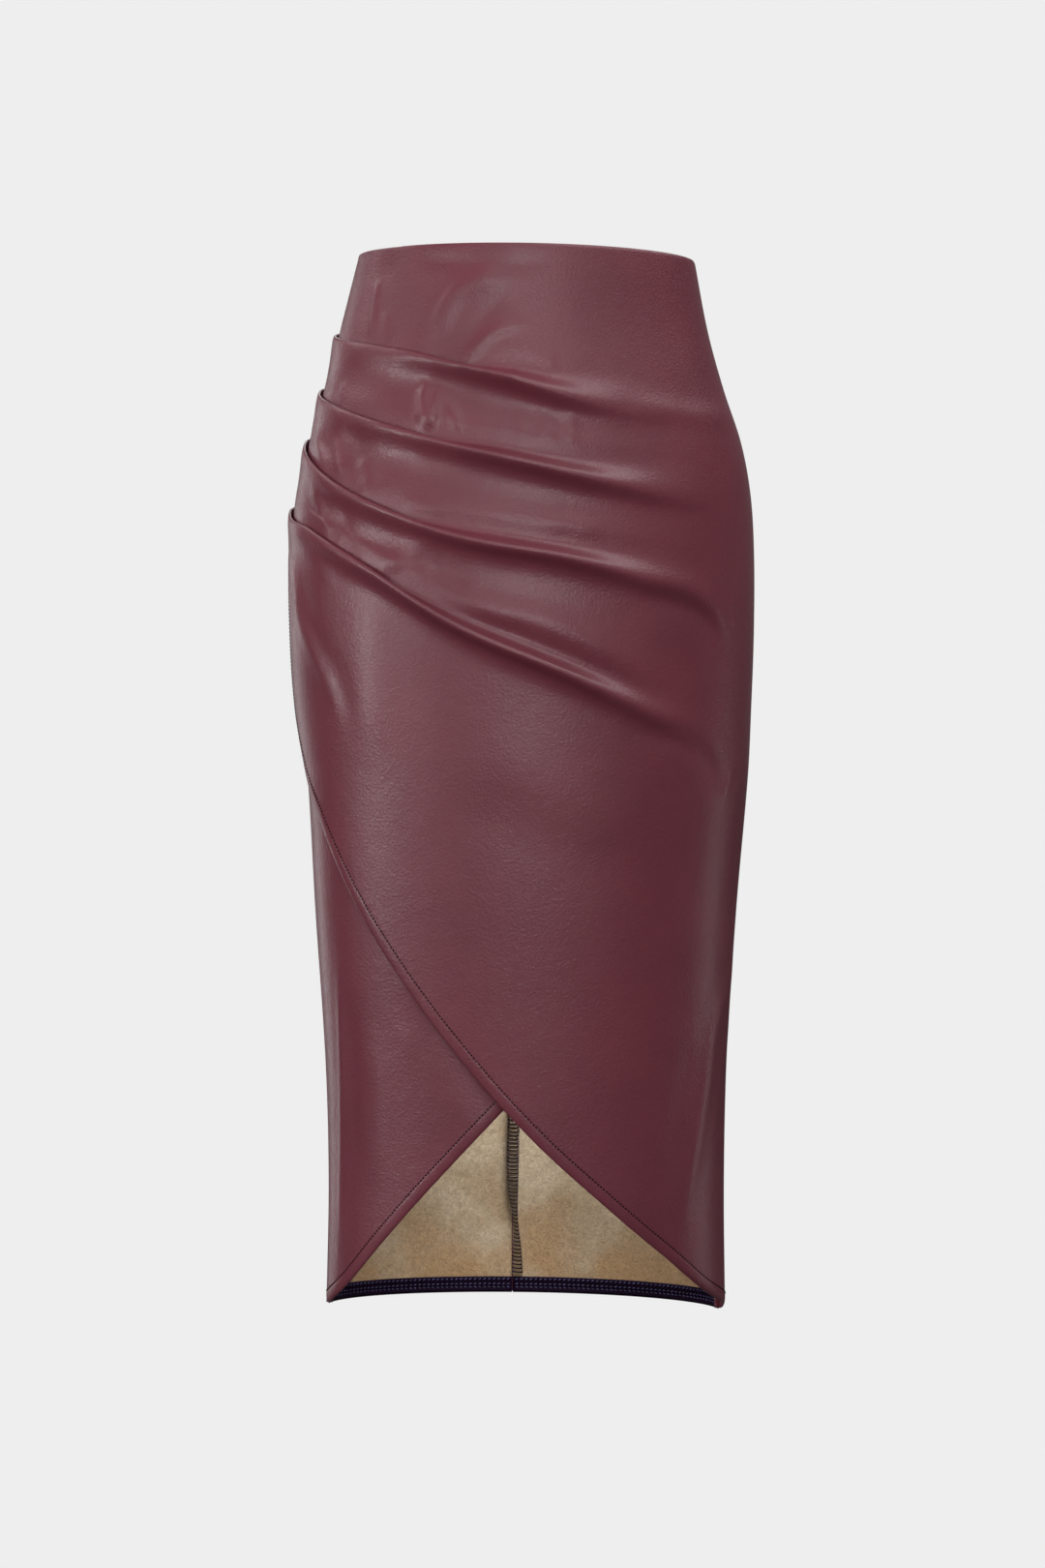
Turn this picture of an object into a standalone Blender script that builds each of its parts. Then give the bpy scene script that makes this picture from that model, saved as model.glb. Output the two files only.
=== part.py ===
"""A knee-length pencil skirt in coated leather cloth, filled out as if worn.

The front is a tulip wrap. Four pleats sewn into the right side seam fan out across the overlap and
fade before the left side, and the overlap's curved hem sweeps down to the left hem corner. The
underlap mirrors it beneath. The back is two panels, closed by a concealed zip with a swinging pull.

Axes: +Z up, the wearer faces -Y, and the wearer's left is +X. The origin is the centre of the waist.
Places on the skirt are given by degrees round the body, from 0 at the right side, over 90 at the
front and 180 at the left side, to 270 at the back, and by the drop below the waist.
"""
import math
from bisect import bisect_right

import bmesh
import bpy
from mathutils import Matrix, Vector

MM = 0.001

# The cloth and how the pieces are set against each other.
CLOTH = 1.0 * MM
GAP = 0.3 * MM
LAYER = CLOTH + GAP
SKIRT_LENGTH = 724.5 * MM
TILT = 2.0 * MM

# The middle of each layer's wall, inwards from the outline of the figure.
OVERLAP_IN = CLOTH / 2
OVERLAP_HEM_IN = OVERLAP_IN + LAYER
UNDERLAP_IN = OVERLAP_HEM_IN + LAYER
UNDERLAP_HEM_IN = UNDERLAP_IN + LAYER
BACK_IN = OVERLAP_HEM_IN
BACK_INNER_IN = BACK_IN + LAYER

# Seams, in degrees round the body. Each side seam lies just behind the side of the body.
RIGHT_SEAM = -6.0
LEFT_SEAM = 186.0
CENTRE_BACK = 274.5
FULL_TURN = 360.0
SEAM_GAP = 0.16

# The outline of the figure: the half width at each side and the depth in front and behind.
SECTION_COLUMNS = ("drop", "right", "left", "front", "back")
SECTIONS = (
    (0, 117.5, 115.2, 88, 84),
    (50, 130.3, 124.6, 93, 93),
    (90, 141.2, 135.5, 99, 103),
    (127, 151.6, 147.6, 104, 113),
    (163, 160.3, 154.2, 108, 121),
    (205, 165.4, 156.6, 110, 126),
    (260, 164.6, 156.4, 110, 125),
    (310, 161.4, 154.6, 108, 119),
    (356, 155.9, 152.4, 106, 112),
    (450, 150.3, 144.2, 101, 101),
    (557, 143.0, 137.5, 96, 92),
    (640, 140.9, 135.7, 93, 87),
    (725, 142.5, 136.5, 92, 85),
)

# The crest line of each pleat: its drop at each of these places round the body.
CREST_PLACES = (-6, 12, 27, 50, 75, 100, 122, 150)
CRESTS = (
    (48, 55, 60, 69, 85, 100, 107, 112),
    (86, 97, 106, 121, 139, 154, 162, 168),
    (120, 136, 150, 174, 198, 211, 223, 240),
    (166, 181, 190, 217, 258, 288, 311, 338),
)
# Where each pleat turns from a folded tuck into an open ridge, how far the ridge stands out beside
# the profile below, and where it dies away.
PLEAT_COLUMNS = ("tuck_until", "open_from", "height", "fades_from", "gone_by")
PLEATS = (
    (22, 76, 0.95, 110, 156),
    (26, 70, 1.05, 108, 154),
    (22, 62, 1.15, 104, 160),
    (22, 60, 1.30, 102, 152),
)
# The wall's middle line through a pleat, from the cloth above it to the cloth below: how far up
# from the crest line and how far out, as a folded tuck, half undone, and as an open ridge.
PROFILE_COLUMNS = ("tuck_up", "tuck_out", "half_up", "half_out", "open_up", "open_out")
PROFILE = (
    (9.0, 0.0, 11.0, 0.0, 14.0, 0.0),
    (-8.8, 0.1, -2.6, 0.5, 6.5, 1.0),
    (-9.7, 0.8, -3.8, 1.4, 3.6, 2.7),
    (-8.8, 1.5, -3.2, 2.6, 1.6, 4.5),
    (-0.3, 1.7, -0.6, 3.6, 0.4, 5.6),
    (0.6, 2.4, 0.4, 4.4, -0.6, 6.0),
    (-0.3, 3.1, -0.4, 5.3, -2.2, 5.7),
    (-5.0, 3.2, -4.8, 4.6, -5.2, 4.0),
    (-12.0, 2.4, -11.5, 2.0, -10.5, 0.8),
    (-19.0, 1.2, -18.5, 0.5, -18.0, 0.0),
)

# The two curved hems: degrees round the body and the drop there.
OVERLAP_HEM = (
    (-6, 208), (-3, 252), (0, 292), (4, 328), (10, 356), (21, 386), (43, 458),
    (67, 534), (90, 598), (112, 645), (130, 677), (153, 708), (186, 726.5),
)
UNDERLAP_HEM = (
    (-6, 722), (10, 718), (28, 702), (45, 671), (65, 626), (83, 582),
    (97, 548), (113, 505), (137, 440), (159, 378), (170, 350), (178, 322), (186, 270),
)
HEM_WIDTH = 8 * MM
BACK_HEM_WIDTH = 10.4 * MM
HEM_TRIM = 0.06
UNDERLAP_EASE = 2.5 * MM

# How finely each piece is divided.
OVERLAP_COLUMNS = 34
YOKE_ROWS = 3
BELOW_ROWS = 9
UNDERLAP_COLUMNS = 26
UNDERLAP_ROWS = 14
BACK_COLUMNS = 9
BACK_ROWS = 18

# The concealed zip.
ZIP_TOP = 6 * MM
ZIP_LENGTH = 180 * MM
TAPE_WIDTH = 12 * MM
ALLOWANCE_WIDTH = 7 * MM
ALLOWANCE_THICKNESS = 1.6 * MM
SLIDER_DROP = 13 * MM
SLIDER_SIZE = Vector((6.0, 1.5, 10.0)) * MM
PIN_RADIUS = 0.5 * MM
PIN_STANDOFF = 2.2 * MM
EYE_RADIUS = 1.15 * MM
EYE_HOLE_RADIUS = 0.78 * MM
EYE_WIDTH = 2.4 * MM
EAR_THICKNESS = 0.9 * MM
EAR_RADIUS = 1.3 * MM
EAR_CLEARANCE = 0.35 * MM
PULL_LENGTH = 20 * MM
PULL_WIDTH = 5.2 * MM
PULL_THICKNESS = 1.0 * MM
ROUND_SIDES = 20

BURGUNDY = (0.115, 0.022, 0.034, 1)
HEM_NAVY = (0.010, 0.005, 0.014, 1)
TAPE_COLOUR = (0.070, 0.016, 0.024, 1)
ZIP_METAL = (0.33, 0.12, 0.14, 1)


def column_of(table, names, name):
    """One named column of a table, as a list."""
    return [row[names.index(name)] for row in table]


def smooth_value(stations, values, at):
    """Reads a smooth curve through the values at rising stations. It is level past either end."""
    if at <= stations[0]:
        return values[0]
    if at >= stations[-1]:
        return values[-1]

    def slope(k):
        low, high = max(k - 1, 0), min(k + 1, len(stations) - 1)
        return (values[high] - values[low]) / (stations[high] - stations[low])

    k = bisect_right(stations, at) - 1
    run = stations[k + 1] - stations[k]
    t = (at - stations[k]) / run
    return (
        values[k] * (2 * t**3 - 3 * t**2 + 1)
        + slope(k) * run * (t**3 - 2 * t**2 + t)
        + values[k + 1] * (3 * t**2 - 2 * t**3)
        + slope(k + 1) * run * (t**3 - t**2)
    )


def ease(low, high, at):
    """0 below low, 1 above high, and a smooth rise between them."""
    t = min(max((at - low) / (high - low), 0.0), 1.0)
    return t * t * (3 - 2 * t)


def mix(a, b, share):
    return a + (b - a) * share


OUTLINE = {name: column_of(SECTIONS, SECTION_COLUMNS, name) for name in SECTION_COLUMNS}


def outline_point(around, drop):
    """A point on the figure's outline."""
    angle = math.radians(around)
    side = "right" if math.cos(angle) > 0 else "left"
    face = "front" if math.sin(angle) > 0 else "back"
    half_width, depth = (
        smooth_value(OUTLINE["drop"], OUTLINE[name], drop / MM) * MM for name in (side, face)
    )
    return Vector((-half_width * math.cos(angle), -depth * math.sin(angle), -drop))


def outward(around, drop):
    """The direction that faces straight out of the figure."""
    turn, fall = 0.5, 2 * MM
    across = outline_point(around + turn, drop) - outline_point(around - turn, drop)
    down = outline_point(around, drop + fall) - outline_point(around, drop - fall)
    return down.cross(across).normalized()


def cloth_point(around, drop, inset):
    """A point in the cloth, this far in from the outline."""
    return outline_point(around, drop) - outward(around, drop) * inset


def level_drop(drop, around):
    """The waist and the back's hem tilt a little, down towards the left side."""
    return drop - TILT * math.cos(math.radians(around))


def hem_drop(hem, around):
    return smooth_value([p[0] for p in hem], [p[1] * MM for p in hem], around)


# Building ------------------------------------------------------------------------------------


def finish(name, colour, roughness, metallic=0.0):
    """A plain Principled material, made once for each name."""
    found = bpy.data.materials.get(name)
    if found:
        return found
    material = bpy.data.materials.new(name)
    material.use_nodes = True
    shader = material.node_tree.nodes["Principled BSDF"]
    shader.inputs["Base Color"].default_value = colour
    shader.inputs["Roughness"].default_value = roughness
    shader.inputs["Metallic"].default_value = metallic
    return material


def add_object(name, mesh, material, collection):
    piece = bpy.data.objects.new(name, mesh)
    mesh.materials.append(material)
    collection.objects.link(piece)
    return piece


def cloth_wall(name, columns, thickness, material, collection):
    """A wall of cloth. Each column lists the points of its middle line from the waist to the hem."""
    across, down = len(columns), len(columns[0])
    shell = bmesh.new()
    bmesh.ops.create_grid(shell, x_segments=across - 1, y_segments=down - 1, size=1)
    for vertex in shell.verts:
        i = round((vertex.co.x + 1) / 2 * (across - 1))
        j = round((1 - vertex.co.y) / 2 * (down - 1))
        vertex.co = columns[i][j]
    mesh = bpy.data.meshes.new(name)
    shell.to_mesh(mesh)
    shell.free()
    mesh.shade_smooth()
    piece = add_object(name, mesh, material, collection)
    wall = piece.modifiers.new("wall", "SOLIDIFY")
    wall.thickness = thickness
    wall.offset = 0
    wall.use_even_offset = True
    wall.use_quality_normals = True
    return piece


def spread(start, end, count):
    """Even steps from start to end, both included."""
    return [mix(start, end, k / count) for k in range(count + 1)]


# Panels --------------------------------------------------------------------------------------


def hem_by_length(hem, count):
    """Places along a hem, evenly spaced by length: (degrees round, drop)."""
    fine = spread(hem[0][0], hem[-1][0], 400)
    points = [outline_point(a, hem_drop(hem, a)) for a in fine]
    run = [0.0]
    for a, b in zip(points, points[1:]):
        run.append(run[-1] + (b - a).length)
    places = [smooth_value(run, fine, run[-1] * k / count) for k in range(count + 1)]
    return [(a, hem_drop(hem, a)) for a in places]


def inside_hem(hem, around, width):
    """The place this far in from the hem, at right angles to its edge."""
    turn = 0.2
    before, after = hem_drop(hem, around - turn), hem_drop(hem, around + turn)
    drop = hem_drop(hem, around)
    across = (outline_point(around + turn, drop) - outline_point(around - turn, drop)).length
    fall = after - before
    scale = width / math.hypot(across, fall)
    return around + fall * scale / (across / (2 * turn)), drop - across * scale


def fan(hem, count):
    """A curved front's columns: the degrees round at the waist, and the two ends of its hem turning."""
    columns = []
    tops = spread(RIGHT_SEAM, LEFT_SEAM, count)
    for top, foot in zip(tops, hem_by_length(hem, count)):
        if top in (tops[0], tops[-1]):
            fold = (foot[0], foot[1] - HEM_WIDTH)
        else:
            fold = inside_hem(hem, foot[0], HEM_WIDTH)
        columns.append((top, fold, foot))
    return columns


def leaning(top, fold, drop):
    """A fan column's place round the body, which leans from the waist to the hem's turning."""
    return mix(top, fold[0], ease(-0.3 * fold[1], fold[1], drop))


def facing(panel, i, j):
    """The direction that faces out of a panel at one of its own points."""
    left, right = max(i - 1, 0), min(i + 1, len(panel) - 1)
    upper, lower = max(j - 1, 0), min(j + 1, len(panel[0]) - 1)
    return (panel[i][lower] - panel[i][upper]).cross(panel[right][j] - panel[left][j]).normalized()


def on_panel(panel, across, down, inwards):
    """A point made from a panel's own and moved inwards. Its place is counted in columns and rows."""
    i, j = min(int(across), len(panel) - 2), min(int(down), len(panel[0]) - 2)
    u, v = across - i, down - j
    point, normal = Vector(), Vector()
    for a, b, share in (
        (i, j, (1 - u) * (1 - v)), (i + 1, j, u * (1 - v)),
        (i, j + 1, (1 - u) * v), (i + 1, j + 1, u * v),
    ):
        point += panel[a][b] * share
        normal += facing(panel, a, b) * share
    return point - normal.normalized() * inwards


def steps_between(start, end):
    """The start, the whole numbers after it, and the end."""
    return [start] + [k for k in range(math.ceil(start), math.ceil(end)) if k > start] + [end]


def strip_on(panel, across, down, inwards):
    """The middle line points of a strip that lies inside a panel, over these columns and rows."""
    return [
        [on_panel(panel, i, j, inwards) for j in steps_between(*down)]
        for i in steps_between(*across)
    ]


# The front -----------------------------------------------------------------------------------


def overlap_column(top, fold, foot):
    """The middle line of one column of the overlap, from the waist to its hem."""
    profile = [dict(zip(PROFILE_COLUMNS, row)) for row in PROFILE]
    line = []
    for crests, row in zip(CRESTS, PLEATS):
        pleat = dict(zip(PLEAT_COLUMNS, row))
        crest = crests[0] * MM
        for _ in range(12):
            crest = smooth_value(CREST_PLACES, crests, leaning(top, fold, crest)) * MM
        around = leaning(top, fold, crest)
        opened = 2 * ease(pleat["tuck_until"], pleat["open_from"], around)
        before, after = ("tuck", "half") if opened < 1 else ("half", "open")
        share = opened % 1 if opened < 2 else 1
        kept = 1 - ease(pleat["fades_from"], pleat["gone_by"], around)
        height = mix(1, pleat["height"], opened / 2) * kept
        for step in profile:
            up = mix(step[before + "_up"], step[after + "_up"], share)
            out = mix(step[before + "_out"], step[after + "_out"], share) * height
            line.append((crest - up * MM, out * MM))
    yoke = [(drop, 0.0) for drop in spread(level_drop(0, top), line[0][0], YOKE_ROWS)[:-1]]
    last_drop, last_out = line[-1]
    below = [
        (mix(last_drop, fold[1], k / BELOW_ROWS), last_out * (1 - k / BELOW_ROWS))
        for k in range(1, BELOW_ROWS + 1)
    ]
    points = [
        cloth_point(leaning(top, fold, drop), drop, OVERLAP_IN - out)
        for drop, out in yoke + line + below
    ]
    return points + [cloth_point(*foot, OVERLAP_IN)]


def underlap_inset(around, drop):
    """The underlap hangs a little away from the overlap, between the seams and below the waist."""
    share = min(max((around - RIGHT_SEAM) / (LEFT_SEAM - RIGHT_SEAM), 0.0), 1.0)
    lower = ease(20 * MM, 110 * MM, drop) * (1 - 0.6 * ease(560 * MM, 700 * MM, drop))
    return UNDERLAP_IN + UNDERLAP_EASE * math.sin(math.pi * share) ** 0.5 * lower


def underlap_column(top, fold, foot):
    """The middle line of one column of the underlap, from the waist to its hem."""
    places = [
        (leaning(top, fold, drop), drop)
        for drop in spread(level_drop(0, top), fold[1], UNDERLAP_ROWS)
    ]
    return [cloth_point(a, d, underlap_inset(a, d)) for a, d in places + [foot]]


def hem_inside(name, panel, material, collection):
    """A hem's turned-up allowance, which lies inside the last row of its panel."""
    rows = len(panel[0]) - 1
    points = strip_on(panel, (HEM_TRIM, len(panel) - 1 - HEM_TRIM), (rows - 1, rows), LAYER)
    return cloth_wall(name, points, CLOTH, material, collection)


def add_front(material, collection):
    """The draped overlap with its four pleats, and the plain underlap, each with its hem turned up."""
    overlap = [overlap_column(*column) for column in fan(OVERLAP_HEM, OVERLAP_COLUMNS)]
    underlap = [underlap_column(*column) for column in fan(UNDERLAP_HEM, UNDERLAP_COLUMNS)]
    cloth_wall("front_overlap", overlap, CLOTH, material, collection)
    cloth_wall("front_underlap", underlap, CLOTH, material, collection)
    hem_inside("overlap_hem", overlap, material, collection)
    hem_inside("underlap_hem", underlap, material, collection)


# The back ------------------------------------------------------------------------------------


def back_panel(start, end):
    """A plain back panel between two places round the body."""
    columns = []
    for around in spread(start, end, BACK_COLUMNS):
        drops = spread(level_drop(0, around), level_drop(SKIRT_LENGTH, around), BACK_ROWS)
        columns.append([cloth_point(around, drop, BACK_IN) for drop in drops])
    return columns


def row_at(drop):
    """The place down a back panel, counted in its rows."""
    return BACK_ROWS * drop / SKIRT_LENGTH


def beside_seam(panel, seam, width, top, bottom, thickness):
    """A strip inside a panel that runs down beside the centre back, the panel's column at seam."""
    inwards = CLOTH / 2 + GAP + thickness / 2
    neighbour = abs(seam - 1)
    columns = ([], [])
    for row in steps_between(row_at(top), row_at(bottom)):
        near = round(row)
        column_width = (panel[seam][near] - panel[neighbour][near]).length
        for points, reach in zip(columns, sorted((GAP / 4, width), reverse=seam > 0)):
            points.append(on_panel(panel, abs(seam - reach / column_width), row, inwards))
    return columns


def add_back(cloth, navy, tape, collection):
    """Two back panels, each with a bound hem, the seam allowance and the concealed zip's tapes."""
    zip_end = ZIP_TOP + ZIP_LENGTH
    band = (row_at(SKIRT_LENGTH - BACK_HEM_WIDTH), BACK_ROWS)
    half_gap = SEAM_GAP / 2
    left = back_panel(LEFT_SEAM + SEAM_GAP, CENTRE_BACK - half_gap)
    right = back_panel(CENTRE_BACK + half_gap, FULL_TURN + RIGHT_SEAM - SEAM_GAP)
    for side, panel, seam in (("left", left, BACK_COLUMNS), ("right", right, 0)):
        cloth_wall(f"back_{side}", panel, CLOTH, cloth, collection)
        hem = strip_on(panel, (HEM_TRIM, BACK_COLUMNS - HEM_TRIM), band, LAYER)
        cloth_wall(f"back_{side}_hem", hem, CLOTH, navy, collection)
        half_tape = beside_seam(panel, seam, TAPE_WIDTH, ZIP_TOP, zip_end, CLOTH)
        cloth_wall(f"zip_tape_{side}", half_tape, CLOTH, tape, collection)
    allowance = beside_seam(
        left, BACK_COLUMNS, ALLOWANCE_WIDTH, zip_end + GAP,
        SKIRT_LENGTH - BACK_HEM_WIDTH - GAP, ALLOWANCE_THICKNESS,
    )
    cloth_wall("back_seam_allowance", allowance, ALLOWANCE_THICKNESS, cloth, collection)


# The zip's slider and pull -------------------------------------------------------------------


def slider_frame():
    """The slider's place: Y faces out of the cloth and Z runs up along it, level from side to side."""
    seat = cloth_point(CENTRE_BACK, SLIDER_DROP, BACK_IN - CLOTH / 2 - GAP)
    facing = outward(CENTRE_BACK, SLIDER_DROP)
    lean = math.atan2(facing.z, facing.y)
    return Matrix.Translation(seat) @ Matrix.Rotation(lean, 4, "X")


def pin_point():
    """The pin's centre in the slider's own frame."""
    return Vector((0, SLIDER_SIZE.y + PIN_STANDOFF, SLIDER_SIZE.z * 0.2))


def rod(name, radius, length, centre, collection, sides=ROUND_SIDES):
    """A solid cylinder across the slider."""
    mesh = bpy.data.meshes.new(name)
    shape = bmesh.new()
    bmesh.ops.create_cone(
        shape, cap_ends=True, segments=sides, radius1=radius, radius2=radius, depth=length,
        matrix=Matrix.Translation(centre) @ Matrix.Rotation(math.pi / 2, 4, "Y"),
    )
    shape.to_mesh(mesh)
    shape.free()
    piece = bpy.data.objects.new(name, mesh)
    collection.objects.link(piece)
    return piece


def block(name, size, centre, collection):
    """A solid box."""
    mesh = bpy.data.meshes.new(name)
    shape = bmesh.new()
    bmesh.ops.create_cube(shape, size=1, matrix=Matrix.LocRotScale(centre, None, size))
    shape.to_mesh(mesh)
    shape.free()
    piece = bpy.data.objects.new(name, mesh)
    collection.objects.link(piece)
    return piece


def helper(piece, base):
    """Marks a piece as a cutter or a shape to join, which rides on its base."""
    piece.hide_render = True
    piece.display_type = "WIRE"
    piece.parent = base


def combine(base, other, operation):
    helper(other, base)
    join = base.modifiers.new(other.name, "BOOLEAN")
    join.operation = operation
    join.object = other


def add_slider(frame, material, collection, helpers):
    """The slider body, with two ears and the pin between them."""
    centre = Vector((0, SLIDER_SIZE.y / 2, 0))
    body = block("zip_slider", SLIDER_SIZE, centre, collection)
    body.data.materials.append(material)
    soften = body.modifiers.new("edges", "BEVEL")
    soften.width = 0.5 * MM
    soften.segments = 2
    pin = pin_point()
    reach = EYE_WIDTH / 2 + EAR_CLEARANCE
    for side in (-1, 1):
        middle = side * (reach + EAR_THICKNESS / 2)
        stalk_height = PIN_STANDOFF + SLIDER_SIZE.y / 2
        stalk = block(
            f"ear_stalk_{side}",
            Vector((EAR_THICKNESS, stalk_height, 2 * EAR_RADIUS * 0.9)),
            Vector((middle, pin.y - stalk_height / 2, pin.z)),
            helpers,
        )
        combine(body, stalk, "UNION")
        ear = rod(
            f"ear_{side}", EAR_RADIUS, EAR_THICKNESS + 0.02 * MM,
            Vector((middle, pin.y, pin.z)), helpers,
        )
        combine(body, ear, "UNION")
    across = rod("pin", PIN_RADIUS, 2 * reach + EAR_THICKNESS, pin, helpers, sides=16)
    combine(body, across, "UNION")
    body.matrix_world = frame
    return body


def add_pull(frame, material, collection, helpers):
    """The teardrop pull, with its origin on the pin and an eye that turns on it."""
    outline = bpy.data.curves.new("zip_pull", "CURVE")
    outline.dimensions = "2D"
    outline.fill_mode = "BOTH"
    outline.extrude = PULL_THICKNESS / 2
    outline.resolution_u = 6
    spline = outline.splines.new("BEZIER")
    neck, belly = 0.85 * MM, PULL_WIDTH / 2
    path = (
        (-neck, 0.0), (-neck, -5 * MM), (-belly, -0.72 * PULL_LENGTH), (0.0, -PULL_LENGTH),
        (belly, -0.72 * PULL_LENGTH), (neck, -5 * MM), (neck, 0.0),
    )
    spline.bezier_points.add(len(path) - 1)
    for point, (x, y) in zip(spline.bezier_points, path):
        point.co = (x, y, 0)
        point.handle_left_type = point.handle_right_type = "AUTO"
    for corner in (0, -1):
        spline.bezier_points[corner].handle_left_type = "VECTOR"
        spline.bezier_points[corner].handle_right_type = "VECTOR"
    spline.use_cyclic_u = True
    flat = bpy.data.objects.new("pull_outline", outline)
    flat.matrix_world = Matrix.Rotation(math.pi / 2, 4, "X")
    helpers.objects.link(flat)
    bpy.context.view_layer.update()
    graph = bpy.context.evaluated_depsgraph_get()
    mesh = bpy.data.meshes.new_from_object(flat.evaluated_get(graph))
    mesh.transform(flat.matrix_world)
    bpy.data.objects.remove(flat)
    weld = bmesh.new()
    weld.from_mesh(mesh)
    bmesh.ops.remove_doubles(weld, verts=weld.verts, dist=0.01 * MM)
    bmesh.ops.recalc_face_normals(weld, faces=weld.faces)
    weld.to_mesh(mesh)
    weld.free()
    mesh.name = "zip_pull"
    mesh.materials.clear()
    pull = add_object("zip_pull", mesh, material, collection)
    combine(pull, rod("eye", EYE_RADIUS, EYE_WIDTH, Vector(), helpers), "UNION")
    combine(pull, rod("eye_hole", EYE_HOLE_RADIUS, 2 * EYE_WIDTH, Vector(), helpers), "DIFFERENCE")
    pull.matrix_world = frame @ Matrix.Translation(pin_point())
    return pull


# The skirt -----------------------------------------------------------------------------------


def clear_scene():
    for old in list(bpy.data.objects):
        bpy.data.objects.remove(old, do_unlink=True)


def new_collection(name):
    made = bpy.data.collections.new(name)
    bpy.context.scene.collection.children.link(made)
    return made


def main():
    clear_scene()
    skirt, helpers = new_collection("skirt"), new_collection("cutters")
    cloth = finish("coated_cloth", BURGUNDY, 0.42)
    navy = finish("hem_tape", HEM_NAVY, 0.7)
    tape = finish("zip_tape", TAPE_COLOUR, 0.8)
    metal = finish("zip_enamel", ZIP_METAL, 0.35, metallic=0.6)

    add_front(cloth, skirt)
    add_back(cloth, navy, tape, skirt)
    frame = slider_frame()
    add_slider(frame, metal, skirt, helpers)
    add_pull(frame, metal, skirt, helpers)


main()
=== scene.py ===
import math

import bpy
import numpy as np
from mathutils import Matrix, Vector


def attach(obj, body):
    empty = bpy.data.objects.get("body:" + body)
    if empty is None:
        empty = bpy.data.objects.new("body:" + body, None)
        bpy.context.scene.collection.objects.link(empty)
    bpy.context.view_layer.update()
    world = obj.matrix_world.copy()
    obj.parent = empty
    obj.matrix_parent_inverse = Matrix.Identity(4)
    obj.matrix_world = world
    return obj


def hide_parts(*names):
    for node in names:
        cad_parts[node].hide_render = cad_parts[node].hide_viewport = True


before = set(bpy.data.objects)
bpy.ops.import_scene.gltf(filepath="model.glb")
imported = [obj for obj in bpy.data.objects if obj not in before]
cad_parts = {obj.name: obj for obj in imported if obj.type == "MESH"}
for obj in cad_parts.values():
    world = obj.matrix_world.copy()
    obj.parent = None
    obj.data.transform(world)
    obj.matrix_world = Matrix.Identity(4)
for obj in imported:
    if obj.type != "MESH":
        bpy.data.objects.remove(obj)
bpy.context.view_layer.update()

# Back panels -----------------------------------------------------------------------------------
# Two panels of coated cloth, burgundy outside and brushed tan inside, cut to the figure and joined
# by the centre back seam. Each runs from its side seam to the centre back, and the waist edge is
# turned in.

MM = 0.001
CLOTH = 0.9 * MM
RIGHT_SEAM, LEFT_SEAM, CENTRE_BACK = -6.0, 186.0, 274.5
SKIRT_LENGTH, WAIST_TILT = 724.5 * MM, 2.0 * MM
BACK_IN = 1.8 * MM

# The figure at each drop below the waist: half widths to the right and left, depths in front
# and behind, in millimetres.
FIGURE = np.array((
    (0, 117.5, 115.2, 88, 84), (50, 130.3, 124.6, 93, 93), (90, 141.2, 135.5, 99, 103),
    (127, 151.6, 147.6, 104, 113), (163, 160.3, 154.2, 108, 121), (205, 165.4, 156.6, 110, 126),
    (260, 164.6, 156.4, 110, 125), (310, 161.4, 154.6, 108, 119), (356, 155.9, 152.4, 106, 112),
    (450, 150.3, 144.2, 101, 101), (557, 143.0, 137.5, 96, 92), (640, 140.9, 135.7, 93, 87),
    (725, 142.5, 136.5, 92, 85),
)) * MM


def smooth_curve(stations, values, at):
    """Reads a smooth curve through the values at rising stations. It is level past either end."""
    x, y = np.asarray(stations, float), np.asarray(values, float)
    steps = np.arange(len(x))
    low, high = np.maximum(steps - 1, 0), np.minimum(steps + 1, len(x) - 1)
    slope = (y[high] - y[low]) / (x[high] - x[low])
    at = np.clip(at, x[0], x[-1])
    k = np.clip(np.searchsorted(x, at, side="right") - 1, 0, len(x) - 2)
    run = x[k + 1] - x[k]
    t = (at - x[k]) / run
    return (
        y[k] * (2 * t**3 - 3 * t**2 + 1) + slope[k] * run * (t**3 - 2 * t**2 + t)
        + y[k + 1] * (3 * t**2 - 2 * t**3) + slope[k + 1] * run * (t**3 - t**2)
    )


def ease(low, high, at):
    """0 below low, 1 above high, and a smooth rise between them."""
    t = np.clip((np.asarray(at, float) - low) / (high - low), 0, 1)
    return t * t * (3 - 2 * t)


def mix(a, b, share):
    return a + (b - a) * share


def figure_point(around, drop):
    """Points on the figure: degrees round it from the right side over the front, and drops."""
    around, drop = np.broadcast_arrays(np.asarray(around, float), np.asarray(drop, float))
    angle = np.radians(around)
    right, left, front, back = (smooth_curve(FIGURE[:, 0], FIGURE[:, c], drop) for c in (1, 2, 3, 4))
    half_width = np.where(np.cos(angle) > 0, right, left)
    depth = np.where(np.sin(angle) > 0, front, back)
    return np.stack([-half_width * np.cos(angle), -depth * np.sin(angle), -drop], -1)


def unit(vectors):
    return vectors / np.maximum(np.linalg.norm(vectors, axis=-1, keepdims=True), 1e-12)


def outward(around, drop):
    """The directions that face straight out of the figure."""
    across = figure_point(around + 0.5, drop) - figure_point(around - 0.5, drop)
    down = figure_point(around, drop + 2 * MM) - figure_point(around, drop - 2 * MM)
    return unit(np.cross(down, across))


def cloth_point(around, drop, inset):
    """Points in the cloth, this far in from the figure's outline."""
    return figure_point(around, drop) - outward(around, drop) * np.asarray(inset)[..., None]


def level_drop(drop, around):
    """The waist and the back's hem dip a little towards the left side."""
    return drop - WAIST_TILT * np.cos(np.radians(around))


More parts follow.
